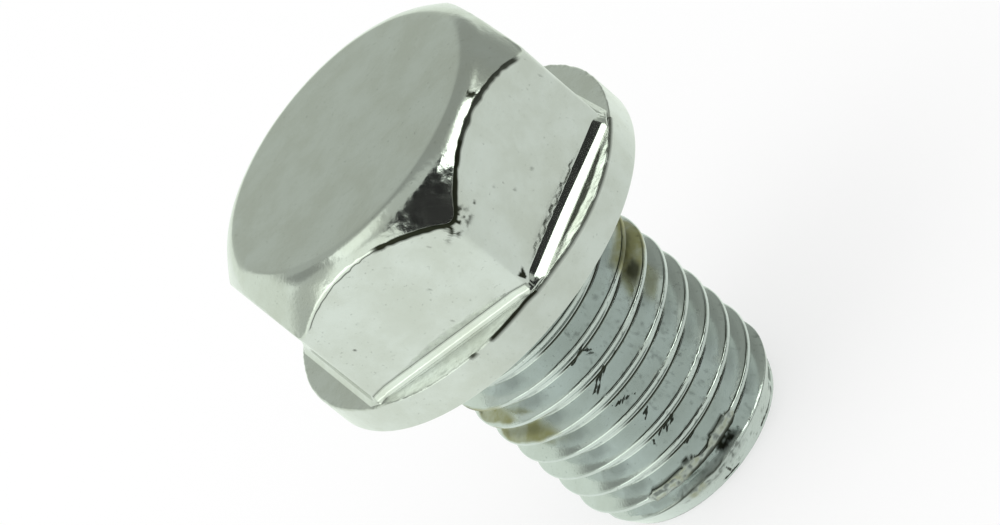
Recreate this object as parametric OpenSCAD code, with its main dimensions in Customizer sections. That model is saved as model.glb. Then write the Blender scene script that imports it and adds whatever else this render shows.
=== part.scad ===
// Oil drain plug: hexagon head, flat round flange and a short right-hand threaded shank, all one piece.
// Millimetres. +Z runs up the axis to the head, and the plug stands on its tip at z = 0.

/* [Head] */
// Width across the hexagon's flats, for a 17 mm spanner
across_flats = 16.8; // [15:0.1:19]
// Height of the hexagon above the flange
hex_h = 7.6; // [6:0.1:10]
// How much a turned cut takes off each sharp corner of the hexagon, measured towards the axis
corner_cut = 0.1; // [0.05:0.05:0.3]
// How far inside the flats the head's flat top meets the chamfer
top_inset = 0.75; // [0.4:0.05:1.5]
// Slope of the chamfer, measured from level
chamfer_slope = 51; // [35:1:60]
// Radius that softens the edge between the flat top and the chamfer
top_round_r = 0.8; // [0.4:0.1:2]
// Radius of the hollow at the foot of each flat
foot_r = 0.55; // [0.3:0.05:0.6]
// Flat land left between the hollows' ends and the rim's rounding
rim_land = 0.05; // [0.02:0.01:0.1]

/* [Flange] */
// How far the flange stands out past the hexagon's sharp corners
flange_step = 0.3; // [0.3:0.1:3]
// Thickness of the flange
flange_t = 1.9; // [1.4:0.1:4]
// Radius on the flange's upper and lower edge
rim_round_r = 0.15; // [0.1:0.05:0.25]

/* [Shank] */
// Diameter over the thread's crests
thread_d = 12; // [10:0.1:13]
// Thread pitch
pitch = 1.5; // [1.25:0.25:1.75]
// Length of the shank from the flange's seat to the tip
shank_l = 15.4; // [10:0.1:25]
// Length of the plain neck under the flange, as thick as the thread's crests
neck_l = 1.1; // [0.6:0.1:3]
// How far inside the thread's crests the flat end face ends
tip_inset = 0.8; // [0.4:0.1:1.6]
// Slope of the lead-in at the tip, measured from level
tip_slope = 48; // [30:1:60]
// Slope of the run-out where the thread's groove fades into the neck, measured from level
runout_slope = 40; // [30:1:60]
// Angle of the thread about the axis, which sets where its crests lie
thread_turn = 80; // [0:5:355]
// Flat facets in one turn of the thread
turn_facets = 48; // [36:4:60]

/* [Hidden] */
$fn = 96;
rim_facets = 16;
top_facets = 48;
hollow_facets = 32;

seat_z = shank_l;
flange_top_z = seat_z + flange_t;
head_top_z = flange_top_z + hex_h;
corner_r = across_flats / 2 / cos(30);
top_edge_r = across_flats / 2 - top_inset;
flange_r = corner_r + flange_step;

// Basic 60 degree thread form: crest flat of an eighth of the pitch
thread_depth = 0.6134 * pitch;
crest_w = pitch / 8;
flank_w = thread_depth * tan(30);
crest_r = thread_d / 2;
tip_r = crest_r - tip_inset;
// How far the shank runs up into the flange, so the two are one solid
shank_sunk = flange_t / 2;

STEEL = [0.78, 0.80, 0.76];

// Half section of the turned head, from the axis outwards: flat top, rounding, chamfer and corner cut
module head_section() {
    out_r = corner_r - corner_cut;
    foot_z = seat_z + flange_t / 2;
    // The rounding meets the flat top and the chamfer at equal distances from their corner
    reach = top_round_r * tan(chamfer_slope / 2);
    round_x = top_edge_r - reach;
    polygon([
        [0, head_top_z],
        [round_x, head_top_z],
        [top_edge_r + reach * cos(chamfer_slope), head_top_z - reach * sin(chamfer_slope)],
        [out_r, head_top_z - (out_r - top_edge_r) * tan(chamfer_slope)],
        [out_r, foot_z],
        [0, foot_z]
    ]);
    translate([round_x, head_top_z - top_round_r]) circle(r = top_round_r, $fn = top_facets);
}

// Hexagon with a corner on +X, so its flats face 30 degrees from the axes' directions
module hex_head() {
    intersection() {
        translate([0, 0, seat_z])
            cylinder(r = corner_r, h = flange_t + hex_h, $fn = 6);
        rotate_extrude() head_section();
    }
}

// Foot of the hexagon: a wider slab, hollowed along each flat and turned off just inside the flange's rim
module hollowed_foot() {
    wide = across_flats + 2 * foot_r;
    foot_z = seat_z + flange_t / 2;
    foot_h = flange_t / 2 + foot_r;
    intersection() {
        difference() {
            translate([0, 0, foot_z]) cylinder(d = wide / cos(30), h = foot_h, $fn = 6);
            for (i = [0:5])
                rotate(60 * i + 30)
                    translate([wide / 2, 0, flange_top_z + foot_r])
                        rotate([90, 0, 0]) cylinder(r = foot_r, h = wide, center = true, $fn = hollow_facets);
        }
        translate([0, 0, foot_z])
            cylinder(r = flange_r - rim_round_r - rim_land, h = foot_h);
    }
}

module flange() {
    rotate_extrude() translate([0, seat_z]) {
        square([flange_r - rim_round_r, flange_t]);
        translate([0, rim_round_r]) square([flange_r, flange_t - 2 * rim_round_r]);
        for (y = [rim_round_r, flange_t - rim_round_r])
            translate([flange_r - rim_round_r, y]) circle(r = rim_round_r, $fn = rim_facets);
    }
}

// Height of thread line k in the column of points i: four lines a pitch, climbing one pitch a turn
function line_step(k) = [0, crest_w, crest_w + flank_w, pitch - flank_w][k % 4];
function line_z(k, i) = pitch * (floor(k / 4) - 1 + i / turn_facets - thread_turn / 360) + line_step(k);

// Radius of a thread line at height z: the groove fades out into the plain neck, and the lead-in cuts the tip
function groove_depth(z) = min(thread_depth, max(0, seat_z - neck_l - z) / tan(runout_slope));
function line_r(k, z) = min(
    crest_r - (k % 4 < 2 ? 0 : groove_depth(z)),
    tip_r + z / tan(tip_slope)
);

// Right-hand thread and neck as one closed skin: rings of points at both ends, thread lines between
module threaded_shank() {
    top_z = seat_z + shank_sunk;
    slack = pitch / turn_facets / 2;
    lines = 4 * (ceil(top_z / pitch) + 3);
    last = turn_facets - 1;

    // In each column, the first and last line that lie clear of the ends
    lowest = [for (i = [0:turn_facets]) min([for (k = [0:lines]) if (line_z(k, i) > slack) k])];
    highest = [for (i = [0:turn_facets]) max([for (k = [0:lines]) if (line_z(k, i) < top_z - slack) k])];
    counts = [for (i = [0:last]) highest[i] - lowest[i] + 3];
    starts = [for (i = 0, s = 0; i <= last; s = s + counts[i], i = i + 1) s];

    points = [for (i = [0:last])
        let (a = 360 * i / turn_facets)
        each concat(
            [[tip_r * cos(a), tip_r * sin(a), 0]],
            [for (k = [lowest[i]:highest[i]])
                let (z = line_z(k, i), r = line_r(k, z)) [r * cos(a), r * sin(a), z]],
            [[crest_r * cos(a), crest_r * sin(a), top_z]]
        )
    ];

    // Points' places in the list; past the last column the first one follows, four lines on
    function column(i) = i > last ? 0 : i;
    function shift(i) = i > last ? 4 : 0;
    function foot(i) = starts[column(i)];
    function crown(i) = starts[column(i)] + counts[column(i)] - 1;
    function at(i, k) = starts[column(i)] + 1 + k + shift(i) - lowest[column(i)];

    sides = [for (i = [0:last])
        let (
            lo = max(lowest[i], lowest[i + 1]),
            hi = min(highest[i], highest[i + 1])
        )
        each concat(
            [[foot(i), at(i, lowest[i]), foot(i + 1)]],
            [[at(i, lowest[i]), at(i + 1, lowest[i + 1]), foot(i + 1)]],
            lowest[i + 1] < lo ? [[at(i, lo), at(i + 1, lo), at(i + 1, lowest[i + 1])]] : [],
            [for (k = [lo:hi - 1]) [at(i, k), at(i, k + 1), at(i + 1, k)]],
            [for (k = [lo:hi - 1]) [at(i, k + 1), at(i + 1, k + 1), at(i + 1, k)]],
            highest[i] > hi ? [[at(i, hi), at(i, highest[i]), at(i + 1, hi)]] : [],
            [[at(i, highest[i]), crown(i), at(i + 1, highest[i + 1])]],
            [[crown(i), crown(i + 1), at(i + 1, highest[i + 1])]]
        )
    ];
    ends = [
        [for (i = [0:last]) foot(i)],
        [for (i = [last:-1:0]) crown(i)]
    ];
    polyhedron(points = points, faces = concat(sides, ends), convexity = 12);
}

module drain_plug() {
    color(STEEL) {
        hex_head();
        hollowed_foot();
        flange();
        threaded_shank();
    }
}

drain_plug();
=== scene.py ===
"""Oil drain plug: a bright-plated hexagon head on a round flange, over a short threaded shank."""
import logging
import math
from dataclasses import dataclass, field
from enum import Enum

import bpy
import numpy as np
from mathutils import Matrix


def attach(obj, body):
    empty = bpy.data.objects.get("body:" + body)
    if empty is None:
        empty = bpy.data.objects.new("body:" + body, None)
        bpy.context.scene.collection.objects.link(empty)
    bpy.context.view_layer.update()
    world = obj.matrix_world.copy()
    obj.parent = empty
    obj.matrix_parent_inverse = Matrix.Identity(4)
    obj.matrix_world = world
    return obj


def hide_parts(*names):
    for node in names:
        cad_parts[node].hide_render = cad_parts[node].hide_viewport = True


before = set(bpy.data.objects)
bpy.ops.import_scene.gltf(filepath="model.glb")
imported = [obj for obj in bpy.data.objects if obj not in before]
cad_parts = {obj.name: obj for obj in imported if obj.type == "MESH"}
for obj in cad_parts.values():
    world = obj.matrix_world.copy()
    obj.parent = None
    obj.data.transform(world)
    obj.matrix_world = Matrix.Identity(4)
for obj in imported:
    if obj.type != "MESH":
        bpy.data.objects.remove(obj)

MM = 0.001
SEAT_Z = 15.4
BODY = "root"
NODE = "drain_plug"
log = logging.getLogger("drain_plug")


class Side(Enum):
    """The six flats of the hexagon, by the direction each one faces, in degrees."""

    BACK_RIGHT = 30
    BACK = 90
    BACK_LEFT = 150
    LEFT = 210
    FRONT = 270
    RIGHT = 330


class Mark(Enum):
    """The surface marks that a mesh carries from point to point for its finish."""

    # Soiling, and also painted shade and dark reflections, on both pieces
    DIRT_AND_PAINTED_SHADE = "grime"
    STAIN = "stain"
    ROUGH = "rough"
    SCRATCH = "scratch"


def smooth(lo: float, hi: float, x: np.ndarray) -> np.ndarray:
    """Smooth step from 0 at lo to 1 at hi, which may be the smaller one."""
    t = np.clip((x - lo) / (hi - lo), 0.0, 1.0)
    return t * t * (3.0 - 2.0 * t)


def window(lo: float, hi: float, soft: float, x: np.ndarray) -> np.ndarray:
    """1 between lo and hi, falling softly to 0 outside them."""
    return smooth(lo - soft, lo + soft, x) * smooth(hi + soft, hi - soft, x)


@dataclass(frozen=True)
class Grain:
    """Smooth random relief in space that is the same on every run."""

    seed: int

    def at(self, points: np.ndarray, size: float) -> np.ndarray:
        """Value noise from -1 to 1.

        Args:
            points: Places in millimetres, one row each.
            size: Distance over which the value changes, in millimetres.

        Returns:
            One value for each row.
        """
        q = points / size
        cell = np.floor(q).astype(np.int64)
        f = q - cell
        f = f * f * (3.0 - 2.0 * f)
        total = np.zeros(len(points))
        for dx in (0, 1):
            for dy in (0, 1):
                for dz in (0, 1):
                    n = (
                        (cell[:, 0] + dx) * 73856093
                        ^ (cell[:, 1] + dy) * 19349663
                        ^ (cell[:, 2] + dz) * 83492791
                        ^ self.seed * 2654435761
                    ) & 0xFFFFFFFF
                    n = ((n ^ (n >> 13)) * 1274126177) & 0xFFFFFFFF
                    n = ((n ^ (n >> 16)) * 2246822519) & 0xFFFFFFFF
                    value = ((n ^ (n >> 15)) & 0xFFFFFF) / 0x7FFFFF - 1.0
                    wx = f[:, 0] if dx else 1.0 - f[:, 0]
                    wy = f[:, 1] if dy else 1.0 - f[:, 1]
                    wz = f[:, 2] if dz else 1.0 - f[:, 2]
                    total += wx * wy * wz * value
        return total

    def layered(self, points: np.ndarray, size: float, layers: int = 3) -> np.ndarray:
        """Sum of finer and finer relief, each layer half as strong as the last.

        Args:
            points: Places in millimetres, one row each.
            size: Distance over which the coarsest layer changes.
            layers: Number of layers.

        Returns:
            One value for each row, from about -1 to 1.
        """
        total = np.zeros(len(points))
        for k in range(layers):
            total += self.at(points + 17.3 * k, size / 2**k) / 2**k
        return total / 1.5


@dataclass
class Skin:
    """Points, faces and marks of one closed piece, in millimetres."""

    points: np.ndarray
    faces: np.ndarray
    marks: dict[Mark, np.ndarray] = field(default_factory=dict)

    def to_object(self, name: str, material: bpy.types.Material) -> bpy.types.Object:
        """Welds points that coincide, drops flat faces and makes the Blender object.

        Args:
            name: Name of the piece.
            material: Its finish.

        Returns:
            The object, in metres, linked to the scene.
        """
        _, first, place = np.unique(
            np.round(self.points, 5), axis=0, return_index=True, return_inverse=True
        )
        place = place.reshape(-1)
        quads = place[self.faces]
        polygons = []
        for quad in quads.tolist():
            ring = [v for k, v in enumerate(quad) if v != quad[k - 1]]
            if len(ring) >= 3 and len(set(ring)) == len(ring):
                polygons.append(ring)
        mesh = bpy.data.meshes.new(name)
        mesh.from_pydata((self.points[first] * MM).tolist(), [], polygons)
        mesh.polygons.foreach_set("use_smooth", [True] * len(mesh.polygons))
        for mark, values in self.marks.items():
            layer = mesh.attributes.new(mark.value, "FLOAT", "POINT")
            layer.data.foreach_set("value", np.clip(values[first], 0.0, 1.0).astype(np.float32))
        mesh.materials.append(material)
        mesh.validate()
        mesh.update()
        piece = bpy.data.objects.new(name, mesh)
        bpy.context.scene.collection.objects.link(piece)
        return piece


def ring_faces(rows: int, columns: int, start: int = 0) -> np.ndarray:
    """Quads of a closed ring grid, wound to face outwards when rows run from top to bottom.

    Args:
        rows: Number of rings.
        columns: Points in each ring.
        start: Number of the first point.

    Returns:
        Four point numbers for each quad.
    """
    j, i = np.meshgrid(np.arange(rows - 1), np.arange(columns), indexing="ij")
    n = (i + 1) % columns
    quads = np.stack(
        [j * columns + i, (j + 1) * columns + i, (j + 1) * columns + n, j * columns + n], axis=-1
    )
    return quads.reshape(-1, 4) + start


@dataclass(frozen=True)
class Pit:
    """A small round hole in the plating of a flat: u runs along the flat, z up from the seat."""

    side: Side
    u: float
    z: float
    radius: float
    depth: float
    grime: float


@dataclass
class FlangedHead:
    """The hexagon head with its turned top, the hollows at its foot and the round flange."""

    apothem: float = 8.4
    corner_round: float = 0.75
    foot_corner_round: float = 0.3
    top_z: float = 9.34
    top_lean: float = 0.022
    top_centre: tuple[float, float] = (0.10, -0.03)
    top_slopes: tuple[tuple[float, float], ...] = (
        (7.2, 0.0), (7.4, 14.0), (7.6, 24.0), (7.9, 34.0), (8.26, 46.0), (9.6, 55.0)
    )
    flange_t: float = 1.86
    flange_r: float = 9.985
    rim_round: float = 0.15
    land_r: float = 9.84
    edge_soft: float = 0.13
    pits: tuple[Pit, ...] = (
        Pit(Side.RIGHT, -3.35, 6.5, 0.10, 0.05, 1.0),
        Pit(Side.RIGHT, 0.05, 4.5, 0.09, 0.05, 1.0),
        Pit(Side.RIGHT, -1.4, 4.85, 0.08, 0.02, 0.45),
        Pit(Side.RIGHT, -2.0, 5.9, 0.07, 0.02, 0.4),
        Pit(Side.RIGHT, 4.3, 6.0, 0.08, 0.02, 0.4),
        Pit(Side.RIGHT, 0.4, 3.0, 0.07, 0.02, 0.35),
        Pit(Side.FRONT, -3.5, 4.9, 0.08, 0.04, 0.9),
        Pit(Side.FRONT, 3.1, 6.8, 0.07, 0.02, 0.4),
        Pit(Side.FRONT, -2.3, 5.85, 0.07, 0.02, 0.4),
        Pit(Side.FRONT, 0.9, 3.0, 0.07, 0.02, 0.4),
        Pit(Side.FRONT, 1.4, 5.1, 0.08, 0.02, 0.5),
        Pit(Side.BACK, 1.2, 4.4, 0.09, 0.03, 0.7),
        Pit(Side.BACK_LEFT, -2.1, 5.6, 0.09, 0.03, 0.7),
        Pit(Side.BACK_RIGHT, 2.6, 3.9, 0.08, 0.03, 0.6),
        Pit(Side.LEFT, 0.8, 5.2, 0.08, 0.03, 0.6),
    )

    def columns(self) -> tuple[np.ndarray, np.ndarray, np.ndarray]:
        """Directions of the grid's columns, close together at the corners.

        Returns:
            The angle of each column, its flat's direction and its place u along that flat.
        """
        half = self.apothem * math.tan(math.radians(30))
        core = np.linspace(-4.3, 4.3, 85)
        end = np.concatenate([np.linspace(4.39, half - 0.24, 4), np.linspace(half - 0.19, half, 7)])
        u = np.concatenate([-end[::-1], core, end[:-1]])
        lean = np.degrees(np.arctan(u / self.apothem))
        angle = np.concatenate([s.value + lean for s in Side])
        facing = np.concatenate([np.full(len(u), float(s.value)) for s in Side])
        return angle, facing, np.tile(u, len(Side))

    def hex_radius(self, lean: np.ndarray, rc: float) -> np.ndarray:
        """Distance from the axis to the hexagon at an angle off a flat's direction.

        Args:
            lean: Angles in degrees, measured from the direction that the nearest flat faces.
            rc: Radius on the hexagon's corners.

        Returns:
            The distances.
        """
        centre = (self.apothem - rc) / math.cos(math.radians(30))
        tangent = self.apothem * math.tan(math.radians(30)) - rc * math.tan(math.radians(30))
        off = np.radians(30.0 - np.abs(lean))
        flat = self.apothem / np.cos(np.radians(lean))
        inside = np.maximum(rc**2 - (centre * np.sin(off)) ** 2, 0.0)
        arc = centre * np.cos(off) + np.sqrt(inside)
        corner = np.abs(lean) > math.degrees(math.atan(tangent / self.apothem))
        return np.where(corner, arc, flat)

    def turned_z(self, r: np.ndarray, angle: np.ndarray) -> np.ndarray:
        """Height of the turned top, which leans a little and is cut a little off the axis.

        Args:
            r: Distances from the axis.
            angle: Directions in degrees.

        Returns:
            Heights above the seat.
        """
        x, y = r * np.cos(np.radians(angle)), r * np.sin(np.radians(angle))
        table_r = np.linspace(6.9, 10.2, 660)
        slope = np.radians(np.interp(table_r, *zip(*self.top_slopes)))
        drop = np.concatenate([[0.0], np.cumsum(np.tan(slope[1:]) * np.diff(table_r))])
        off = np.hypot(x - self.top_centre[0], y - self.top_centre[1])
        crown = 0.0009 * (56.25 - np.minimum(r, 7.5) ** 2)
        return self.top_z + crown + self.top_lean * y - np.interp(off, table_r, drop)

    def foot(self, side: np.ndarray, u: np.ndarray) -> tuple[np.ndarray, np.ndarray]:
        """Profile of the hollow at the foot of a flat: a steep strip, then a bevel, then the flange.

        Args:
            side: Direction of each column's flat.
            u: Place of each column along its flat.

        Returns:
            How far out and how far up from the flange each ring of the foot lies, from the top down.
        """
        right, front = side == Side.RIGHT.value, side == Side.FRONT.value
        end = smooth(4.2, 4.8, np.abs(u))
        steep = np.where(right, 0.28 + 0.12 * smooth(-1.5, 4.6, u), np.where(front, 0.31, 0.28))
        bevel = np.where(right, 0.42 - 0.14 * smooth(-1.5, 4.6, u), np.where(front, 0.11, 0.3))
        steep = steep * (1 - end) + 0.28 * end
        bevel = bevel * (1 - end) + 0.2 * end
        extra = np.where(right, 7.0, 0.0)
        lengths = [0.015, 0.015, *[steep / 4] * 4, 0.02, 0.02, *[bevel / 5] * 5, 0.015, 0.015, 0.015]
        leans = [6, 14, 21, 22, 22, 23, 34, 41, 45, 46, 47, 47, 48, 56, 68, 82]
        out, up = [np.zeros_like(u)], [np.zeros_like(u)]
        for k, (length, lean) in enumerate(zip(lengths, leans)):
            tilt = np.radians(lean + (extra if 1 <= k <= 5 else 0.0))
            out.append(out[-1] + length * np.sin(tilt))
            up.append(up[-1] - length * np.cos(tilt))
        return np.stack(out), np.stack(up) - up[-1]

    def shelf_z(self, r: np.ndarray, side: np.ndarray, u: np.ndarray) -> np.ndarray:
        """Height of the flange's top, which slopes a little before the two front flats.

        Args:
            r: Distances from the axis.
            side: Direction of each column's flat.
            u: Place of each column along its flat.

        Returns:
            Heights above the seat.
        """
        out = r * self.apothem / np.hypot(self.apothem, u) - self.apothem
        middle = smooth(4.9, 3.9, np.abs(u))
        fall = np.where(side == Side.RIGHT.value, 0.14 * np.maximum(out - 0.85, 0.0) * middle, 0.0)
        rise = np.where(side == Side.FRONT.value, 0.12 * np.maximum(1.35 - out, 0.0) * middle, 0.0)
        t = np.clip((r - self.flange_r + 0.12) / 0.12, 0.0, 1.0)
        return self.flange_t - fall + rise - 0.07 * (1.0 - np.sqrt(np.maximum(1.0 - t * t, 0.0)))

    def build(self) -> Skin:
        """Lays the rings from the middle of the top, over the edges, down to the seat.

        Returns:
            The closed skin with its marks.
        """
        angle, facing, u = self.columns()
        count = len(angle)
        one = np.ones(count)
        r_hex = self.hex_radius(angle - facing, self.corner_round)
        r_low = self.hex_radius(angle - facing, self.foot_corner_round)
        wobble = Grain(3)
        around = np.stack(
            [10 * np.cos(np.radians(angle)), 10 * np.sin(np.radians(angle)), 0 * angle], axis=1
        )
        edge_drop = 0.05 * wobble.layered(around, 0.9) + 0.03 * wobble.at(around, 0.25)
        radius, height, zone = [], [], []

        def ring(r: np.ndarray, z: np.ndarray, tag: float) -> None:
            """Adds one ring of radii and heights, with the number of its zone."""
            radius.append(r * one)
            height.append(z * one)
            zone.append(tag * one)

        for r in (0.0, 1.2, 2.4, 3.6, 4.7, 5.6, 6.3, 6.7, 6.95):
            ring(r, self.turned_z(r, angle), 0)
        for r in np.linspace(7.05, 8.25, 16):
            ring(r, self.turned_z(r, angle), 1)
        edge = self.edge_soft + 0.04 * wobble.at(around, 0.35)
        r_edge = r_hex - edge * 0.7
        for t in np.linspace(0, 1, 13)[1:]:
            r = np.minimum(8.25, r_edge) + np.maximum(r_edge - 8.25, 0.0) * t
            ring(r, self.turned_z(r, angle), 1)
        z_corner = self.turned_z(r_hex, angle) + edge_drop
        z_under = z_corner - edge
        for t in (0.2, 0.4, 0.6, 0.8, 1.0):
            a, b, c = (1 - t) ** 2, 2 * t * (1 - t), t**2
            z_above = self.turned_z(r_edge, angle)
            ring(a * r_edge + b * r_hex + c * r_hex, a * z_above + b * z_corner + c * z_under, 2)
        out, up = self.foot(facing, u)
        shelf = self.shelf_z(r_low + out[-1], facing, u)
        foot_top = shelf + up[0]
        low = foot_top + 0.45
        for t in np.linspace(0, 1, 38)[1:]:
            ring(r_hex + (r_low - r_hex) * t, z_under + (low - z_under) * t, 3)
        for t in np.linspace(0, 1, 10)[1:]:
            ring(r_low, low + (foot_top - low) * t, 3)
        reach = r_low / self.apothem
        for k in range(1, len(out)):
            ring(np.minimum(r_low + out[k] * reach, self.land_r), shelf + up[k], 4)
        foot_r, foot_z = radius[-1], height[-1]
        for t in np.linspace(0, 1, 21)[1:]:
            r = foot_r + (self.flange_r - foot_r) * math.sin(math.radians(90 * t))
            join = smooth(0.0, 0.25, t)
            ring(r, self.shelf_z(r, facing, u) * join + foot_z * (1 - join), 5)
        wall_top = height[-1]
        for t in np.linspace(0, 1, 10)[1:]:
            ring(self.flange_r, wall_top + (self.rim_round - wall_top) * t, 7)
        for t in (15, 30, 45, 60, 75, 90):
            a = math.radians(t)
            ring(
                self.flange_r - self.rim_round * (1 - math.cos(a)),
                self.rim_round * (1 - math.sin(a)),
                8,
            )
        for r in (9.0, 7.6, 6.4, 5.0, 0.0):
            ring(r, 0.0, 9)

        r, z, tag = np.stack(radius), np.stack(height), np.stack(zone)
        skin = self.marked(r, z, tag, angle, facing, u)
        log.info("head and flange: %d rings of %d points", len(radius), count)
        return skin

    def marked(
        self,
        r: np.ndarray,
        z: np.ndarray,
        tag: np.ndarray,
        angle: np.ndarray,
        facing: np.ndarray,
        u: np.ndarray,
    ) -> Skin:
        """Adds the relief of forging, plating and handling, and the marks for the finish.

        Args:
            r: Radii of the rings, one row each.
            z: Heights above the seat.
            tag: Zone numbers, from the top disc down to the seat.
            angle: Direction of each column.
            facing: Direction of each column's flat.
            u: Place of each column along its flat.

        Returns:
            The closed skin with its marks.
        """
        rows, count = r.shape
        cos, sin = np.cos(np.radians(angle)), np.sin(np.radians(angle))
        place = np.stack([r * cos, r * sin, z], axis=-1).reshape(-1, 3)
        grit, wave = Grain(11), Grain(5)
        fine = grit.layered(place, 0.22, 2).reshape(rows, count)
        broad = wave.layered(place, 3.0, 2).reshape(rows, count)
        uu = np.broadcast_to(u, r.shape)
        side = np.broadcast_to(facing, r.shape)
        flat = tag == 3
        grime = np.zeros_like(r)
        rough = np.zeros_like(r)
        push = np.zeros_like(r)

        # Gentle waves of a forged and plated face, and its pits
        push += np.where(flat, 0.010 * broad - 0.006, 0.0)
        for pit in self.pits:
            far = np.hypot(uu - pit.u, z - pit.z) / pit.radius
            spot = np.where(flat & (side == pit.side.value), np.exp(-(far**2)), 0.0)
            push -= pit.depth * spot
            grime = np.maximum(grime, pit.grime * smooth(0.25, 0.8, spot))

        right, front = side == Side.RIGHT.value, side == Side.FRONT.value
        toward = np.abs(np.mod(angle - 300 + 180, 360) - 180)
        rise = np.where(tag == 1, 0.003 * smooth(7.2, 7.8, r) * fine, 0.0)
        rise += np.where(tag == 1, 0.012 * smooth(21, 15, toward) * smooth(7.6, 8.1, r) * fine, 0.0)

        # Dark line along the edges between the chamfer and the two front flats, a painted dark reflection in the
        # corner between those flats, and a dark spot beside the bright reflection
        last_round = np.flatnonzero(tag[:, 0] == 2)[-2]
        thin = (np.arange(rows) == last_round)[:, None]
        dark_edge_and_painted_reflection = right * window(-3.0, 4.15, 0.2, uu) * 0.93 + thin * front * window(-4.1, 2.8, 0.2, uu) * 0.93
        dark_edge_and_painted_reflection = np.maximum(dark_edge_and_painted_reflection * smooth(-1.3, -0.6, fine), smooth(24, 21, toward))
        grime = np.maximum(grime, np.where(tag == 2, dark_edge_and_painted_reflection, 0.0))
        spot = right * window(0.95, 1.5, 0.12, uu) * window(8.05, 9.6, 0.05, r)
        grime = np.maximum(grime, np.where(tag == 1, spot * smooth(-0.35, 0.0, fine), 0.0))

        # Torn burr along the upper edge of the right flat's hollow
        teeth = Grain(31).at(place * np.array([1.0, 1.0, 0.45]), 0.13).reshape(rows, count)
        over = z - z[np.argmax(tag[:, 0] == 4) - 1]
        burr = window(0.03, 0.2, 0.05, over) * window(-3.3, 1.8, 0.4, uu) * right * flat
        push += burr * 0.05 * teeth
        rough = np.maximum(rough, 0.5 * burr)
        tall = 0.08 + 0.3 * np.clip(1 - (uu / 2.6) ** 2, 0, 1)
        lens = window(0.0, 1.0, 0.06, over / tall + 0.25 * fine) * front * flat
        push += lens * 0.012 * teeth
        grime = np.maximum(grime, lens * (0.18 + 0.16 * fine))
        line = window(-0.03, 0.03, 0.02, over) * front
        grime = np.maximum(grime, 0.65 * line)
        # Torn metal below the corner between the two front flats
        corner = np.maximum(
            right * window(-5.0, -3.9, 0.3, uu), front * window(3.9, 5.0, 0.3, uu)
        ) * window(6.35, 7.3, 0.2, z)
        streak = Grain(33).layered(
            np.stack([place[:, 0] - place[:, 2] * 0.6, place[:, 1] + place[:, 2] * 0.5, place[:, 2] * 0.3], 1), 0.2, 2
        ).reshape(rows, count)
        push += np.where(tag >= 2, corner * 0.04 * streak, 0.0)
        grime = np.maximum(grime, np.where(tag >= 2, corner * smooth(-0.05, 0.25, streak), 0.0))
        half = 0.25 * np.clip((z - 2.42) / 0.42, 0.0, 1.0) + 0.03 + 0.05 * fine
        notch = window(2.45, 2.86, 0.03, z) * smooth(1.3, 0.8, np.abs(uu + 4.66) / half)
        grime = np.maximum(grime, notch * right * flat)
        # Rough rim between the flange's top and its wall
        rim = np.where(tag == 5, smooth(9.6, 9.85, r), 0.0)
        ragged = Grain(37).layered(place * np.array([1.0, 1.0, 0.3]), 0.3, 2).reshape(rows, count)
        push -= rim * 0.03 * np.maximum(ragged, -0.3)
        rise -= rim * 0.03 * np.maximum(ragged, 0.0)
        rough = np.maximum(rough, rim * 0.35)
        steep = np.where((tag == 5) | ((tag == 7) & (z > 1.66)), smooth(9.905, 9.93, r + 0.09 * ragged), 0.0)
        steep = np.where(tag == 7, steep * smooth(1.74, 1.765, z + 0.06 * ragged), steep)
        wide = np.where(tag == 5, smooth(9.82, 9.90, r + 0.04 * ragged), 0.0)
        steep = np.maximum(steep, wide * front * window(1.8, 5.4, 0.1, uu))
        dark = front * (window(1.8, 5.4, 0.1, uu) + 0.9 * window(0.7, 1.05, 0.06, uu)) + 0.8 * right
        grime = np.maximum(grime, np.clip(steep * dark, 0, 1))
        # Painted dark reflection: a tapering dark band on the flange's top before the right flat
        beyond = r * self.apothem / np.hypot(self.apothem, uu) - self.apothem
        taper = 0.50 + 0.52 * np.clip(1 - ((uu - 0.3) / 3.0) ** 2, 0, 1)
        painted_dark_stripe = np.where(tag == 5, smooth(0.50, 0.54, beyond) * smooth(0.04, -0.04, beyond - taper + 0.06 * ragged), 0.0)
        grime = np.maximum(grime, 0.93 * painted_dark_stripe * right * smooth(-1.1, -0.5, ragged) * smooth(3.0, 2.4, np.abs(uu - 0.3)))
        push += np.where((tag == 7), 0.004 * broad, 0.0)

        r = np.where(tag == 9, r, np.minimum(np.maximum(r + push, 0.0), 9.998))
        z = np.clip(z + rise, 0.0, 9.498)
        points = np.stack([r * cos, r * sin, z + SEAT_Z], axis=-1).reshape(-1, 3)
        marks = {
            Mark.DIRT_AND_PAINTED_SHADE: grime.reshape(-1),
            Mark.STAIN: np.zeros(points.shape[0]),
            Mark.ROUGH: rough.reshape(-1),
        }
        return Skin(points, ring_faces(rows, count), marks)


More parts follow.
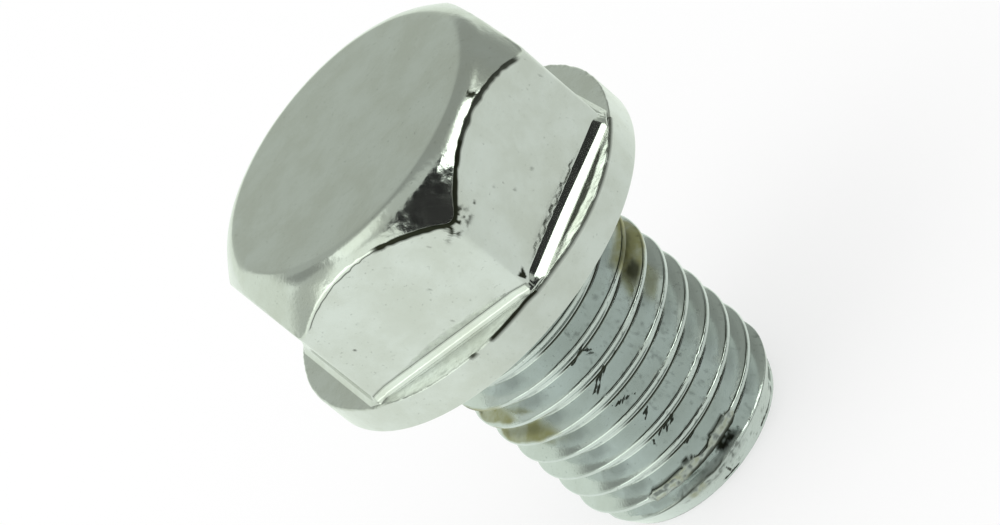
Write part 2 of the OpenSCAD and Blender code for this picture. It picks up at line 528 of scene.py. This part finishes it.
@dataclass
class ThreadedShank:
    """The shank with its right-hand thread, plain neck, lead-in and battered last turns."""

    crest_r: float = 5.99
    pitch: float = 1.5
    depth: float = 0.92
    crest_w: float = 0.1875
    flank_w: float = 0.531
    turn: float = 80.0
    neck_l: float = 1.1
    top_z: float = 15.6
    tip_r: float = 5.2
    tip_slope: float = 64.0
    runout_slope: float = 40.0
    scratches: tuple[tuple[float, float, float, float, float], ...] = (
        (-73.5, -4.38, -63.5, -4.08, 0.045),
        (-66.0, -4.15, -64.0, -4.50, 0.03),
        (-77.0, -6.32, -73.5, -6.25, 0.07),
        (-74.0, -6.15, -68.0, -5.85, 0.06),
        (-72.0, -5.90, -63.5, -5.74, 0.07),
        (-57.5, -5.68, -56.5, -5.64, 0.06),
        (-76.0, -7.56, -70.5, -7.68, 0.07),
        (-71.0, -7.68, -65.5, -7.86, 0.07),
        (-73.0, -9.10, -66.0, -8.90, 0.02),
        (-71.0, -9.25, -68.0, -9.05, 0.01),
        (-72.5, -10.42, -62.5, -10.25, 0.05),
        (-69.0, -10.55, -63.5, -10.42, 0.05),
        (-77.5, -10.75, -76.5, -10.45, 0.03),
        (-68.0, -11.85, -61.0, -11.72, 0.04),
        (-39.5, -14.66, -30.0, -14.62, 0.07),
        (-31.0, -14.62, -20.0, -14.50, 0.05),
        (-68.5, -14.72, -60.0, -14.78, 0.03),
        (-64.5, -14.45, -64.0, -14.70, 0.03),
    )
    crushed_top: tuple[tuple[float, float], ...] = (
        (-102.0, -13.00), (-100.0, -12.78), (-97.0, -12.64), (-92.0, -12.60), (-80.0, -12.62),
        (-77.0, -12.50), (-74.0, -12.45), (-71.0, -12.60), (-68.0, -12.86), (-63.0, -12.86),
        (-60.0, -12.62), (-56.0, -12.47), (-51.0, -12.47), (-47.0, -12.50), (-43.0, -12.72), (-41.0, -13.00),
    )
    last_blows: tuple[tuple[float, float], ...] = (
        (-112.0, 0.0), (-95.0, 0.03), (-82.0, 0.13), (-76.0, 0.13), (-70.0, 0.0), (-66.0, 0.0),
        (-60.0, 0.12), (-53.0, 0.18), (-46.0, 0.1), (-42.0, 0.03), (-37.0, 0.08), (-28.0, 0.0),
    )

    def crest_middle(self, angle: np.ndarray) -> np.ndarray:
        """Height, from the seat, of the middle of one crest at each angle."""
        return self.pitch * (angle - self.turn) / 360.0 + self.crest_w / 2 - SEAT_Z

    def heave(self, angle: np.ndarray, z: np.ndarray) -> np.ndarray:
        """How far blows have pushed the last turn's edge up, at each angle and height above the tip."""
        a = np.where(angle > 180, angle - 360, angle)
        return np.interp(a, *zip(*self.last_blows)) * window(0.8, 1.45, 0.15, z)

    def seen(self, r: np.ndarray, s: np.ndarray, a: np.ndarray) -> tuple[np.ndarray, np.ndarray]:
        """Where points show on the crests' cylinder to an eye in front, 27 degrees up.

        Args:
            r: Radii.
            s: Heights from the seat.
            a: Directions in degrees.

        Returns:
            The directions and heights there; points at the back come to keep their own.
        """
        tilt = math.radians(27)
        off = np.radians(np.mod(a + 63 + 180, 360) - 180)
        held = np.clip(off, -1.52, 1.52)
        across = r * np.cos(held) * math.cos(tilt)
        deep = math.cos(tilt) ** 2 * np.maximum(36.0 - r**2, 0.0)
        way = (np.sqrt(across**2 + deep) - across) / math.cos(tilt) ** 2
        shift = np.degrees(np.arctan2(r * np.sin(held), r * np.cos(held) + way * math.cos(tilt)) - held)
        fade = smooth(-0.6, 0.05, np.cos(off))
        return a + fade * shift, s + fade * way * math.sin(tilt)

    def profile(self) -> tuple[np.ndarray, np.ndarray]:
        """Heights within one pitch and how deep the groove is at each, with softened edges.

        Returns:
            Heights from 0 up to less than a pitch, and depths below the crest.
        """
        h = np.arange(-0.5, 2.0, 0.002)
        w = np.mod(h, self.pitch)
        down = np.clip((w - self.crest_w) / self.flank_w, 0, 1)
        up = np.clip((self.pitch - w) / self.flank_w, 0, 1)
        deep = self.depth * np.minimum(down, up)
        width = 45
        deep = np.convolve(deep, np.ones(width) / width, mode="same")
        crest = np.array([0.0, 0.035, 0.075, 0.115, 0.155, 0.185, 0.208, 0.225, 0.24, 0.258, 0.285])
        flank_a = np.linspace(0.34, 0.64, 5)
        root = np.array([0.69, 0.72, 0.74, 0.77, 0.80, 0.825, 0.84, 0.86, 0.88, 0.90, 0.925, 0.95, 1.0])
        flank_b = np.array([1.1, 1.22, 1.34])
        last = np.array([1.41, 1.455])
        place = np.concatenate([crest, flank_a, root, flank_b, last])
        return place, np.interp(place, h, deep)

    def build(self) -> Skin:
        """Lays a ribbon of points along the thread and closes both ends.

        Returns:
            The closed skin with its marks.
        """
        step, deep = self.profile()
        per_turn = len(step)
        turns = int(self.top_z / self.pitch) + 3
        j = np.arange(per_turn * turns)
        angle = np.concatenate(
            [np.arange(0, 15, 0.9), np.linspace(15, 225, 80), np.arange(225.9, 360, 0.9)]
        )
        columns = len(angle)
        climb = self.pitch * ((angle - self.turn) / 360.0 - 1.0)
        z = step[j % per_turn][:, None] + self.pitch * (j // per_turn)[:, None] + climb[None, :]
        z = np.clip(z + self.heave(angle, z), 0.0, self.top_z)
        groove = np.broadcast_to(deep[j % per_turn][:, None], z.shape)
        fade = np.clip((SEAT_Z - self.neck_l - z) / math.tan(math.radians(self.runout_slope)), 0, None)
        r = self.crest_r - np.minimum(groove, fade)
        r = np.minimum(r, self.tip_r + z / math.tan(math.radians(self.tip_slope)))
        r = np.where(z >= self.top_z - 1e-6, self.crest_r, r)
        skin = self.marked(r, z, angle, groove)
        lo, hi = j[:-1], j[1:]
        quads = []
        for c in range(columns):
            n = (c + 1) % columns
            lift = per_turn if c + 1 == columns else 0
            keep = hi + lift < len(j)
            quads.append(
                np.stack(
                    [
                        (lo * columns + c)[keep],
                        ((lo + lift) * columns + n)[keep],
                        ((hi + lift) * columns + n)[keep],
                        (hi * columns + c)[keep],
                    ],
                    axis=1,
                )
            )
        return self.capped(skin, np.concatenate(quads), angle)

    def marked(self, r: np.ndarray, z: np.ndarray, angle: np.ndarray, groove: np.ndarray) -> Skin:
        """Adds crushed turns, nicks, soiling, painted shade and dark reflections, and stains.

        Args:
            r: Radii, one row for each thread line.
            z: Heights above the tip.
            angle: Direction of each column in degrees.
            groove: Depth of the groove at each point.

        Returns:
            The skin's points and marks, without faces.
        """
        cos, sin = np.cos(np.radians(angle)), np.sin(np.radians(angle))
        a = np.broadcast_to(np.where(angle > 180, angle - 360, angle), z.shape)
        s = z - SEAT_Z
        place = np.stack([r * cos, r * sin, z], axis=-1).reshape(-1, 3)
        fine = Grain(21).layered(place, 0.25, 2).reshape(z.shape)
        mid = Grain(22).layered(place, 0.7, 2).reshape(z.shape)
        crest = smooth(0.35, 0.05, groove)
        inner = (z > 0.02) & (s < -0.6)

        over = np.mod(s - self.crest_middle(a) + 0.9, 1.5) - 0.9
        sa, ss = self.seen(r, s, a)
        top = np.interp(a, *zip(*self.crushed_top))
        turn = window(-13.75, -12.3, 0.02, s) * window(-0.42, 0.5, 0.03, over)
        crushed = window(-101, -42, 1.0, a) * turn * smooth(0.04, -0.04, ss - top)
        heap = 5.90 + 0.07 * fine + 0.03 * mid
        r = np.where(inner, r + (heap - r) * crushed, r)
        fill = window(-150, -8, 12, a) * smooth(1.15, 0.95, z)
        r = np.where(inner, r + (self.tip_r + z / math.tan(math.radians(self.tip_slope)) - r) * fill, r)
        battered = window(-93, -48, 4, a) * window(-14.65, -13.95, 0.1, s)
        r = np.where(inner, r + battered * 0.045 * fine, r)
        glint = window(-50, -26, 5, a) * window(0.10, 0.19, 0.03, over) * smooth(-0.15, 0.3, fine)
        glint *= smooth(-5.5, -6.5, s) * smooth(-12.0, -11.7, s)
        r = np.where(inner, r + 0.025 * glint, r)
        nick = window(-75, -25, 8, a) * crest * smooth(0.25, 0.5, fine)
        r = np.where(inner, r - 0.025 * nick, r)
        r = np.where(inner, r + 0.004 * mid, r)
        r = np.minimum(r, np.where(s < -0.6, 5.998, r))

        grime, scratch = np.zeros_like(z), np.zeros_like(z)
        for a0, s0, a1, s1, wide in self.scratches:
            run = ((sa - a0) * (a1 - a0) + (ss - s0) * (s1 - s0) * 91.0) / ((a1 - a0) ** 2 + (s1 - s0) ** 2 * 91.0)
            along = np.clip(run, 0, 1)
            off = np.hypot((sa - a0 - along * (a1 - a0)) * 0.1047, ss - s0 - along * (s1 - s0))
            scratch = np.maximum(scratch, 0.86 * smooth(2.0, 0.0, off / (wide + 0.05)))
        # Painted shade and dark reflections: thin dark lines along each turn, one above the crest and two in the root
        shown = smooth(-88, -78, a) * smooth(20, -12, a) * smooth(-1.6, -2.0, s)
        painted_dark_lines = smooth(0.03, 0.012, np.abs(over - 0.137 + 0.012 * fine)) * smooth(-0.9, -0.4, fine) * (1 - glint)
        painted_dark_lines = np.maximum(painted_dark_lines, 0.85 * smooth(0.03, 0.012, np.abs(over + 0.684)) * smooth(-38, -46, a))
        painted_dark_lines = np.maximum(painted_dark_lines, smooth(0.062, 0.04, np.abs(over + 0.805)))
        grime = np.maximum(grime, painted_dark_lines * shown * (1 - crushed) * smooth(-14.3, -14.1, s))
        speck = smooth(-80, -66, a) * smooth(60, 0, a) * smooth(0.42, 0.7, fine)
        grime = np.maximum(grime, 0.4 * speck)
        dusting = Grain(41).layered(place, 0.16, 1).reshape(z.shape)
        dusting = smooth(-80, -66, a) * smooth(60, 0, a) * smooth(0.35, 0.6, dusting) * smooth(-0.2, 0.5, mid)
        grime = np.maximum(grime, 0.45 * dusting * smooth(0.2, 0.5, groove))
        # Painted dark reflection on the flanks, at the lower left and at the right
        painted_dark_reflection = smooth(-119, -116, a + 5 * fine) * smooth(-99, -103, a) + smooth(-32, -12, a) * smooth(40, 20, a)
        grime = np.maximum(grime, 0.17 * painted_dark_reflection * smooth(0.2, 0.5, groove) * smooth(-1.4, -1.8, s) * (s > -13.9))
        pit = window(-60, -49.5, 1.0, sa + 2 * fine) * window(-13.74, -13.15, 0.05, ss + 0.08 * mid)
        pit = np.maximum(pit, 0.75 * window(-74, -58, 2.0, sa) * window(-13.72, -13.42, 0.05, ss) * smooth(-0.3, 0.2, fine))
        grime = np.maximum(grime, pit * smooth(-0.9, -0.1, fine))
        under = np.maximum(smooth(0.04, 0.02, np.abs(over + 0.37)), 0.8 * smooth(0.03, 0.012, np.abs(over + 0.25)))
        grime = np.maximum(grime, crushed * under * smooth(-84, -76, a))
        outline = smooth(0.09, 0.04, np.abs(ss - top - 0.02)) * window(-101, -43, 1.5, a)
        grime = np.maximum(grime, outline * smooth(-0.9, -0.3, fine))
        grime = np.maximum(grime, crushed * (0.15 + 0.5 * smooth(-0.1, 0.4, -fine)))
        edge = self.tip_r + z / math.tan(math.radians(self.tip_slope)) - (self.crest_r - groove)
        brow = window(-0.01, 0.12, 0.03, edge) * window(-112, -60, 4, a) * window(-14.6, -13.5, 0.1, s)
        grime = np.maximum(grime, 0.9 * brow)
        grime = np.maximum(grime, battered * (0.08 + 0.5 * smooth(0.0, 0.4, -fine)))
        back = smooth(0.6, 0.8, mid) * smooth(0.1, 0.5, fine) * (1 - window(-120, 40, 10, a))
        grime = np.maximum(grime, 0.6 * back)

        stain = 0.5 * np.maximum(crushed, window(-86, -76, 2, sa) * window(-14.45, -14.0, 0.08, ss))
        stain *= 1.1 * smooth(-0.35, 0.35, fine + 0.3 * mid)
        stain = np.maximum(stain, window(-26, 16, 4, sa) * window(-5.05, -3.0, 0.2, ss + 0.15 * mid))
        grime = np.maximum(grime, 0.8 * window(-24, -13, 3, sa) * window(-4.95, -4.2, 0.15, ss + 0.2 * mid))
        grime = np.maximum(grime, 0.55 * window(-21, 2, 4, sa) * window(-4.0, -3.55, 0.12, ss + 0.1 * mid))
        stain = np.maximum(stain, 0.7 * window(-25, -8, 4, sa) * window(-6.2, -5.5, 0.2, ss + 0.2 * mid))
        grime = np.maximum(grime, 0.3 * window(-22, -10, 4, sa) * window(-6.15, -5.6, 0.2, ss + 0.2 * mid))
        stain = np.maximum(stain, window(-145, -117, 4, sa) * window(-5.35, -4.0, 0.15, ss + 0.15 * mid))
        grime = np.maximum(grime, 0.6 * window(-144, -137, 2, sa) * window(-4.9, -4.1, 0.15, ss + 0.2 * mid))
        stain = np.maximum(stain, window(-142, -105, 4, sa) * window(-7.0, -5.75, 0.15, ss + 0.15 * mid))
        grime = np.maximum(grime, 0.35 * window(-138, -108, 6, sa) * window(-6.5, -5.9, 0.2, ss + 0.3 * mid))
        stain = np.maximum(stain, window(100, 150, 8, a) * window(-5.6, -3.6, 0.4, s + 0.3 * mid))
        points = np.stack([r * cos, r * sin, z], axis=-1).reshape(-1, 3)
        marks = {
            Mark.DIRT_AND_PAINTED_SHADE: grime.reshape(-1),
            Mark.STAIN: (stain * np.where(inner, 1.0, 0.0)).reshape(-1),
            Mark.ROUGH: np.maximum(crushed, battered).reshape(-1),
            Mark.SCRATCH: scratch.reshape(-1),
        }
        return Skin(points, np.zeros((0, 4), int), marks)

    def capped(self, skin: Skin, quads: np.ndarray, angle: np.ndarray) -> Skin:
        """Closes the tip with a flat end face and the top with a disc inside the flange.

        Args:
            skin: Points and marks of the thread.
            quads: Faces of the thread.
            angle: Direction of each column in degrees.

        Returns:
            The closed skin.
        """
        cos, sin = np.cos(np.radians(angle)), np.sin(np.radians(angle))
        points, faces = [skin.points], [quads]
        start = len(skin.points)
        count = len(angle)
        for z, radii, flip in (
            (0.0, (self.tip_r, 5.0, 4.4, 3.4, 2.2, 1.1, 0.0), True),
            (self.top_z, (self.crest_r, 3.0, 0.0), False),
        ):
            rings = [np.stack([r * cos, r * sin, z + 0 * cos], axis=1) for r in radii]
            points.append(np.concatenate(rings))
            grid = ring_faces(len(radii), count, start)
            faces.append(grid[:, ::-1] if not flip else grid)
            start += len(radii) * count
        joined = np.concatenate(points)
        extra = len(joined) - len(skin.points)
        marks = {m: np.concatenate([v, np.zeros(extra)]) for m, v in skin.marks.items()}
        log.info("shank: %d points", len(joined))
        return Skin(joined, np.concatenate(faces), marks)


class Nodes:
    """Short ways to place and join the nodes of one tree."""

    def __init__(self, tree: bpy.types.NodeTree) -> None:
        """Keeps the tree and empties it."""
        self.tree = tree
        tree.nodes.clear()

    def add(self, kind: str, **inputs: object) -> bpy.types.Node:
        """Adds a node; inputs are set, or joined where a socket is given.

        Args:
            kind: Blender's name of the node type.
            **inputs: Values by input name, with _ for a space, or node settings in small letters.

        Returns:
            The new node.
        """
        node = self.tree.nodes.new(kind)
        for key, value in inputs.items():
            name = key.replace("_", " ")
            if name[0].isupper() or name[0].isdigit():
                self.feed(node, int(name) if name.isdigit() else name, value)
            else:
                setattr(node, key, value)
        return node

    def feed(self, node: bpy.types.Node, name: str | int, value: object) -> None:
        """Sets an input, or joins it to a socket."""
        if isinstance(value, bpy.types.NodeSocket):
            self.tree.links.new(value, node.inputs[name])
        else:
            node.inputs[name].default_value = value

    def math(self, operation: str, a: object, b: object = 0.0, clamp: bool = False) -> bpy.types.NodeSocket:
        """Result of a Math node on two values or sockets."""
        node = self.tree.nodes.new("ShaderNodeMath")
        node.operation, node.use_clamp = operation, clamp
        self.feed(node, 0, a)
        self.feed(node, 1, b)
        return node.outputs[0]

    def mix(self, factor: object, a: object, b: object) -> bpy.types.NodeSocket:
        """Colour between a and b."""
        node = self.tree.nodes.new("ShaderNodeMix")
        node.data_type = "RGBA"
        for place, value in ((0, factor), (6, a), (7, b)):
            self.feed(node, place, value)
        return node.outputs[2]

    def ramp(self, value: object, lo: float, hi: float, a: float = 0.0, b: float = 1.0) -> bpy.types.NodeSocket:
        """Value mapped smoothly from lo..hi to a..b."""
        node = self.tree.nodes.new("ShaderNodeMapRange")
        node.interpolation_type = "SMOOTHSTEP"
        for place, item in enumerate((value, lo, hi, a, b)):
            self.feed(node, place, item)
        return node.outputs[0]


def grain_group() -> bpy.types.NodeTree:
    """Node group with the clouds, pits and scratches of the plating, used by each steel finish.

    Returns:
        The group. Cloud, Fleck and Scratch run from 0 to 1, and Height is in millimetres.
    """
    group = bpy.data.node_groups.new("plating_grain", "ShaderNodeTree")
    for name in ("Cloud Size", "Fleck Size", "Scratch"):
        group.interface.new_socket(name, in_out="INPUT", socket_type="NodeSocketFloat")
    for name in ("Cloud", "Fleck", "Scratch", "Height"):
        group.interface.new_socket(name, in_out="OUTPUT", socket_type="NodeSocketFloat")
    n = Nodes(group)
    given = n.add("NodeGroupInput")
    out = n.add("NodeGroupOutput")
    place = n.add("ShaderNodeTexCoord").outputs["Object"]
    cloud = n.add(
        "ShaderNodeTexNoise",
        Vector=place,
        Scale=n.math("DIVIDE", 1000.0, given.outputs["Cloud Size"]),
        Detail=5.0,
        Roughness=0.6,
    ).outputs[0]
    fleck = n.add(
        "ShaderNodeTexNoise",
        Vector=place,
        Scale=n.math("DIVIDE", 1000.0, given.outputs["Fleck Size"]),
        Detail=2.0,
        Roughness=0.5,
    ).outputs[0]
    ways = []
    for way in ((0.94 / 0.0005, 0.34 / 0.0005, 0.0), (-0.33 / 0.00007, -0.12 / 0.00007, 1.0 / 0.00007)):
        dot = n.add("ShaderNodeVectorMath", operation="DOT_PRODUCT")
        n.feed(dot, 0, place)
        n.feed(dot, 1, way)
        ways.append(dot.outputs["Value"])
    along = n.add("ShaderNodeCombineXYZ", X=ways[0], Y=ways[1])
    streak = n.add("ShaderNodeTexNoise", Vector=along.outputs[0], Scale=1.0, Detail=2.0).outputs[0]
    streak = n.math("MULTIPLY", n.math("SUBTRACT", streak, 0.5), 1.7)
    scratch = n.ramp(n.math("ADD", streak, given.outputs["Scratch"]), 0.52, 0.66)
    n.feed(out, "Cloud", n.ramp(cloud, 0.3, 0.7))
    n.feed(out, "Fleck", n.ramp(fleck, 0.66, 0.76))
    n.feed(out, "Scratch", scratch)
    n.feed(out, "Height", n.math("MULTIPLY", fleck, 0.012))
    return group


@dataclass(frozen=True)
class PlatedSteel:
    """Bright plating over forged steel, with soiling, painted shade and oily stains where the mesh marks them."""

    name: str
    colour: tuple[float, float, float] = (0.725, 0.738, 0.735)
    cloud_colour: tuple[float, float, float] = (0.65, 0.658, 0.632)
    grime_colour: tuple[float, float, float] = (0.028, 0.030, 0.020)
    stain_colour: tuple[float, float, float] = (0.36, 0.34, 0.17)
    cloud_size: float = 2.4
    fleck_size: float = 0.16
    fleck_dark: float = 0.22
    roughness: float = 0.11
    cloud_roughness: float = 0.19
    bump: float = 0.35

    def material(self, grain: bpy.types.NodeTree) -> bpy.types.Material:
        """Builds the material.

        Args:
            grain: The shared plating group.

        Returns:
            The material.
        """
        made = bpy.data.materials.new(self.name)
        made.use_nodes = True
        n = Nodes(made.node_tree)
        out = n.add("ShaderNodeOutputMaterial")
        shader = n.add("ShaderNodeBsdfPrincipled")
        shader.inputs["Metallic"].default_value = 1.0
        n.feed(out, "Surface", shader.outputs[0])
        group = n.add("ShaderNodeGroup")
        group.node_tree = grain
        n.feed(group, "Cloud Size", self.cloud_size)
        n.feed(group, "Fleck Size", self.fleck_size)
        grime, stain, rough, scratch = (
            n.add("ShaderNodeAttribute", attribute_name=m.value).outputs["Fac"]
            for m in (Mark.DIRT_AND_PAINTED_SHADE, Mark.STAIN, Mark.ROUGH, Mark.SCRATCH)
        )
        n.feed(group, "Scratch", scratch)
        cloud, fleck, scratch, height = (group.outputs[k] for k in range(4))
        grime = n.math("MAXIMUM", grime, n.math("MULTIPLY", scratch, 0.95))
        tint = n.mix(cloud, (*self.colour, 1), (*self.cloud_colour, 1))
        tint = n.mix(n.math("MULTIPLY", fleck, self.fleck_dark), tint, (*self.grime_colour, 1))
        tint = n.mix(n.math("MULTIPLY", stain, n.ramp(cloud, 0.0, 0.8, 0.55, 0.95)), tint, (*self.stain_colour, 1))
        # Darkens towards the dark colour where the mark holds soiling or painted shade
        tint = n.mix(grime, tint, (*self.grime_colour, 1))
        n.feed(shader, "Base Color", tint)
        gloss = n.ramp(cloud, 0.0, 1.0, self.roughness, self.cloud_roughness)
        gloss = n.math("ADD", gloss, n.math("MULTIPLY", rough, 0.22))
        gloss = n.math("ADD", gloss, n.math("MULTIPLY", n.math("MAXIMUM", grime, stain), 0.3), clamp=True)
        n.feed(shader, "Roughness", gloss)
        lift = n.math("ADD", height, n.math("MULTIPLY", n.math("MULTIPLY", height, rough), 4.0))
        bump = n.add("ShaderNodeBump", Strength=self.bump, Distance=MM, Height=lift)
        n.feed(shader, "Normal", bump.outputs[0])
        return made


@dataclass(frozen=True)
class Patch:
    """A soft-edged card seen only as a reflection: direction, half sizes and brightness."""

    azimuth: float
    elevation: float
    half_width: float
    half_height: float
    soft: float
    value: float

    def axes(self) -> tuple[np.ndarray, np.ndarray, np.ndarray]:
        """Unit vectors towards the card, along its width and along its height."""
        a, e = math.radians(self.azimuth), math.radians(self.elevation)
        to = np.array([math.cos(e) * math.cos(a), math.cos(e) * math.sin(a), math.sin(e)])
        side = np.array([-math.sin(a), math.cos(a), 0.0])
        return to, side, np.cross(to, side)


@dataclass
class Studio:
    """Pale floor, soft light, what the metal reflects, and the camera."""

    floor_half: float = 3.0
    patches: tuple[Patch, ...] = (
        Patch(117, 46, 40, 16, 16, 0.48),
        Patch(62, 36, 30, 24, 10, 0.36),
        Patch(60, 66, 34, 16, 10, 0.36),
        Patch(161, 20, 21, 17, 4, 0.92),
        Patch(168, 48, 9, 9, 6, 0.34),
        Patch(184, 67, 14, 9, 6, 1.25),
        Patch(3, 16, 20, 21, 4, 0.03),
        Patch(-58, 50, 22, 22, 4, 0.015),
        Patch(6, 50, 19, 13, 3, 2.6),
        Patch(44, 42, 4, 2.5, 2, 1.4),
        Patch(-125, 12, 27, 10, 4, 1.15),
        Patch(-125, 31, 27, 11, 4, 1.75),
        Patch(-125, 51, 21, 11, 4, 1.08),
    )

    def world(self) -> None:
        """Sets the world: white to the camera, even light to dull surfaces, a studio to the metal."""
        world = bpy.data.worlds.new("studio")
        bpy.context.scene.world = world
        world.use_nodes = True
        n = Nodes(world.node_tree)
        out = n.add("ShaderNodeOutputWorld")
        path = n.add("ShaderNodeLightPath")
        way = n.add("ShaderNodeTexCoord").outputs["Generated"]
        split = n.add("ShaderNodeSeparateXYZ", Vector=way)
        value = n.ramp(split.outputs[2], 0.17, 0.26, 0.96, 0.56)
        for patch in self.patches:
            mask = self.mask(n, way, patch)
            blend = n.add("ShaderNodeMix")
            n.feed(blend, 0, mask)
            n.feed(blend, 2, value)
            n.feed(blend, 3, patch.value)
            value = blend.outputs[0]
        studio = n.add("ShaderNodeBackground", Color=(0.90, 1.0, 0.867, 1.0), Strength=value)
        plain = n.add("ShaderNodeBackground", Color=(1.0, 1.0, 1.0, 1.0), Strength=1.0)
        both = n.add("ShaderNodeMixShader")
        n.feed(both, 0, path.outputs["Is Glossy Ray"])
        n.feed(both, 1, plain.outputs[0])
        n.feed(both, 2, studio.outputs[0])
        n.feed(out, "Surface", both.outputs[0])

    def mask(self, n: Nodes, way: bpy.types.NodeSocket, patch: Patch) -> bpy.types.NodeSocket:
        """Soft rectangle of a card on the sky.

        Args:
            n: The world's nodes.
            way: Direction of the ray.
            patch: The card.

        Returns:
            1 on the card, 0 off it.
        """
        parts = []
        for axis in patch.axes():
            dot = n.add("ShaderNodeVectorMath", operation="DOT_PRODUCT")
            n.feed(dot, 0, way)
            n.feed(dot, 1, tuple(axis))
            parts.append(dot.outputs["Value"])
        to, side, up = parts
        ahead = n.ramp(to, 0.0, 0.1)
        result = ahead
        for part, half in ((side, patch.half_width), (up, patch.half_height)):
            off = n.math("ABSOLUTE", n.math("ARCTAN2", part, n.math("MAXIMUM", to, 0.001)))
            result = n.math(
                "MULTIPLY",
                result,
                n.ramp(off, math.radians(half - patch.soft / 2), math.radians(half + patch.soft / 2), 1.0, 0.0),
            )
        return result

    def floor(self) -> None:
        """Pale floor under the tip, which keeps the plug's shadow."""
        h = self.floor_half
        mesh = bpy.data.meshes.new("floor")
        mesh.from_pydata([(-h, -h, 0), (h, -h, 0), (h, h, 0), (-h, h, 0)], [], [(0, 1, 2, 3)])
        floor = bpy.data.objects.new("floor", mesh)
        bpy.context.scene.collection.objects.link(floor)
        made = bpy.data.materials.new("pale_floor")
        made.use_nodes = True
        n = Nodes(made.node_tree)
        out = n.add("ShaderNodeOutputMaterial")
        path = n.add("ShaderNodeLightPath")
        dull = n.add("ShaderNodeBsdfDiffuse", Color=(0.9, 0.9, 0.9, 1))
        # Painted shade: seen in the metal, the glowing floor grows darker towards azimuth -27 degrees, down to 0.81
        place = n.add("ShaderNodeVectorMath", operation="NORMALIZE")
        n.feed(place, 0, n.add("ShaderNodeNewGeometry").outputs["Position"])
        ahead = n.add("ShaderNodeVectorMath", operation="DOT_PRODUCT")
        n.feed(ahead, 0, place.outputs[0])
        n.feed(ahead, 1, (math.cos(math.radians(-27)), math.sin(math.radians(-27)), 0.0))
        shade = n.ramp(ahead.outputs["Value"], -0.1, 0.9, 1.0, 0.81)
        glossy = path.outputs["Is Glossy Ray"]
        level = n.math("ADD", n.math("MULTIPLY", glossy, shade), n.math("SUBTRACT", 1.0, glossy))
        tint = n.mix(glossy, (1, 1, 1, 1), (0.914, 1.0, 0.90, 1))
        white = n.add("ShaderNodeEmission", Color=tint, Strength=level)
        seen = n.math("MULTIPLY", path.outputs["Is Camera Ray"], 0.6)
        seen = n.math("MAXIMUM", seen, glossy)
        mix = n.add("ShaderNodeMixShader")
        n.feed(mix, 0, seen)
        n.feed(mix, 1, dull.outputs[0])
        n.feed(mix, 2, white.outputs[0])
        n.feed(out, "Surface", mix.outputs[0])
        mesh.materials.append(made)

    def lamp(self) -> None:
        """One large soft lamp that gives the floor its shadow."""
        light = bpy.data.lights.new("soft_lamp", "AREA")
        light.size, light.energy = 0.35, 0.45
        lamp = bpy.data.objects.new("soft_lamp", light)
        lamp.location = (-0.25, -0.15, 0.45)
        lamp.rotation_euler = lamp.location.to_track_quat("Z", "Y").to_euler()
        lamp.visible_glossy = False
        bpy.context.scene.collection.objects.link(lamp)

    def camera(self) -> None:
        """Camera at the photo's place, rolled so that the plug leans across the frame."""
        lens = bpy.data.cameras.new("camera")
        lens.sensor_width, lens.lens = 36.0, 141.89
        lens.clip_start, lens.clip_end = 0.005, 20.0
        camera = bpy.data.objects.new("camera", lens)
        right = (0.732122, -0.024160, -0.680745)
        down = (-0.548355, -0.613785, -0.567957)
        ahead = (-0.404109, 0.789103, -0.462614)
        turn = Matrix((right, [-v for v in down], [-v for v in ahead])).transposed().to_4x4()
        camera.matrix_world = Matrix.Translation((0.076236, -0.147970, 0.101217)) @ turn
        bpy.context.scene.collection.objects.link(camera)
        bpy.context.scene.camera = camera

    def build(self) -> None:
        """Sets up the whole studio."""
        bpy.context.scene.view_settings.view_transform = "Standard"
        self.world()
        self.floor()
        self.lamp()
        self.camera()


def dress(name: str, skin: Skin, material: bpy.types.Material) -> bpy.types.Object:
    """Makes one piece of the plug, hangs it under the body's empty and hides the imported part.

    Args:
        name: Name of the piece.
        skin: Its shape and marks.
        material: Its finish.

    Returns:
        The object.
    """
    piece = skin.to_object(name, material)
    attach(piece, BODY)
    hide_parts(NODE)
    log.info("%s: %d faces", name, len(piece.data.polygons))
    return piece


def main() -> None:
    """Builds the studio and both pieces."""
    logging.basicConfig(level=logging.INFO, format="%(message)s")
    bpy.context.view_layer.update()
    Studio().build()
    grain = grain_group()
    head_finish = PlatedSteel("plated_head")
    shank_finish = PlatedSteel(
        "plated_thread", colour=(0.655, 0.69, 0.698), cloud_colour=(0.603, 0.635, 0.63), cloud_size=2.0, fleck_size=0.12, fleck_dark=0.45, bump=0.45
    )
    dress("head_and_flange", FlangedHead().build(), head_finish.material(grain))
    dress("threaded_shank", ThreadedShank().build(), shank_finish.material(grain))
    bpy.context.view_layer.update()


if __name__ == "__main__":
    main()
